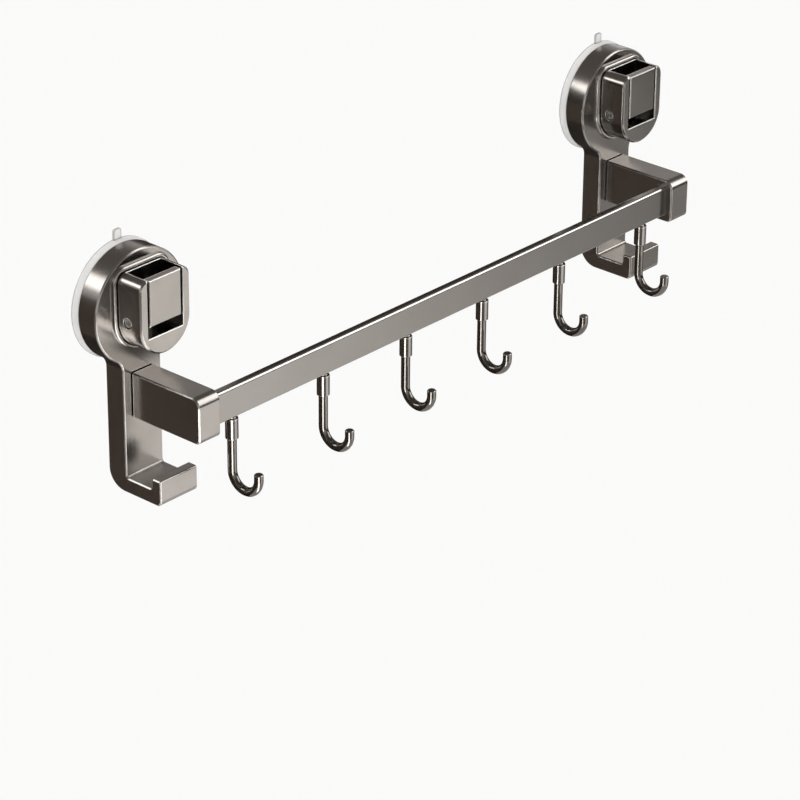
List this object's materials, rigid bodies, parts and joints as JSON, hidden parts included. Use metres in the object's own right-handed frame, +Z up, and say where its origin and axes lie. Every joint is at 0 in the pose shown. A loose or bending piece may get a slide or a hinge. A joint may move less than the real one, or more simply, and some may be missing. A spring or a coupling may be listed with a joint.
{
  "type": "kitchen utensil rail",
  "caption": "Flat kitchen rail on side arms, held to a wall by suction cups with flip-lever locks; J hooks slide along its underside and a square hook ends each leg.",
  "frame": {"origin": "on the wall plane, midway between the centres of the two suction cups", "axes": "+X along the rail to the right as seen from the room, +Y into the wall, +Z up"},
  "size_m": [0.572, 0.1006, 0.1776],
  "materials": {
    "gunmetal_casting": "gunmetal plated, softly brushed, with polished bevels",
    "gunmetal_rail": "gunmetal anodised, brushed along its length",
    "dark_chrome": "polished gunmetal plating",
    "clear_rubber": "clear soft plastic",
    "steel_pin": "dark plated",
    "stem_plastic": "moulded",
    "slider_plastic": "moulded",
    "screw_steel": "zinc plated"
  },
  "bodies": {
    "frame": {"rail": "gunmetal_rail", "left_bracket": "gunmetal_casting", "left_lock_housing": "gunmetal_casting", "left_lever_pin": "steel_pin", "left_suction_cup": "clear_rubber", "left_housing_screws": "screw_steel", "left_arm_screws": "screw_steel", "left_arm": "gunmetal_casting", "left_set_screw": "screw_steel", "right_bracket": "gunmetal_casting", "right_lock_housing": "gunmetal_casting", "right_lever_pin": "steel_pin", "right_suction_cup": "clear_rubber", "right_housing_screws": "screw_steel", "right_arm_screws": "screw_steel", "right_arm": "gunmetal_casting", "right_set_screw": "screw_steel"},
    "left_lever": {"left_lock_lever": "gunmetal_casting"},
    "left_stem": {"left_cup_stem": "stem_plastic", "left_stem_pin": "steel_pin"},
    "right_lever": {"right_lock_lever": "gunmetal_casting"},
    "right_stem": {"right_cup_stem": "stem_plastic", "right_stem_pin": "steel_pin"},
    "hook_unit_1": {"hook_1": "dark_chrome", "hook_collar_1": "dark_chrome", "hook_slider_1": "slider_plastic"},
    "hook_unit_2": {"hook_2": "dark_chrome", "hook_collar_2": "dark_chrome", "hook_slider_2": "slider_plastic"},
    "hook_unit_3": {"hook_3": "dark_chrome", "hook_collar_3": "dark_chrome", "hook_slider_3": "slider_plastic"},
    "hook_unit_4": {"hook_4": "dark_chrome", "hook_collar_4": "dark_chrome", "hook_slider_4": "slider_plastic"},
    "hook_unit_5": {"hook_5": "dark_chrome", "hook_collar_5": "dark_chrome", "hook_slider_5": "slider_plastic"},
    "hook_unit_6": {"hook_6": "dark_chrome", "hook_collar_6": "dark_chrome", "hook_slider_6": "slider_plastic"}
  },
  "joints": [
    {"name": "left_lever_turn", "type": "hinge", "parent": "frame", "child": "left_lever", "pos_m": [-0.245, -0.032, -0.002], "axis": [1, 0, 0], "range_deg": [0, 65]},
    {"name": "left_stem_slide", "type": "slide", "parent": "frame", "child": "left_stem", "axis": [0, 1, 0], "range_m": [0, 0.003], "deforming": ["left_suction_cup"]},
    {"name": "right_lever_turn", "type": "hinge", "parent": "frame", "child": "right_lever", "pos_m": [0.245, -0.032, -0.002], "axis": [1, 0, 0], "range_deg": [0, 65]},
    {"name": "right_stem_slide", "type": "slide", "parent": "frame", "child": "right_stem", "axis": [0, 1, 0], "range_m": [0, 0.003], "deforming": ["right_suction_cup"]},
    {"name": "hook_1_slide", "type": "slide", "parent": "frame", "child": "hook_unit_1", "axis": [1, 0, 0], "range_m": [-0.0141, 0.0373]},
    {"name": "hook_2_slide", "type": "slide", "parent": "frame", "child": "hook_unit_2", "axis": [1, 0, 0], "range_m": [-0.0373, 0.035]},
    {"name": "hook_3_slide", "type": "slide", "parent": "frame", "child": "hook_unit_3", "axis": [1, 0, 0], "range_m": [-0.0351, 0.0337]},
    {"name": "hook_4_slide", "type": "slide", "parent": "frame", "child": "hook_unit_4", "axis": [1, 0, 0], "range_m": [-0.0337, 0.0358]},
    {"name": "hook_5_slide", "type": "slide", "parent": "frame", "child": "hook_unit_5", "axis": [1, 0, 0], "range_m": [-0.0358, 0.0403]},
    {"name": "hook_6_slide", "type": "slide", "parent": "frame", "child": "hook_unit_6", "axis": [1, 0, 0], "range_m": [-0.0403, 0.019]}
  ],
  "couplings": [
    {"joint": "left_stem_slide", "follows": "left_lever_turn", "m_per_rad": 0.0026444},
    {"joint": "right_stem_slide", "follows": "right_lever_turn", "m_per_rad": 0.0026444}
  ]
}
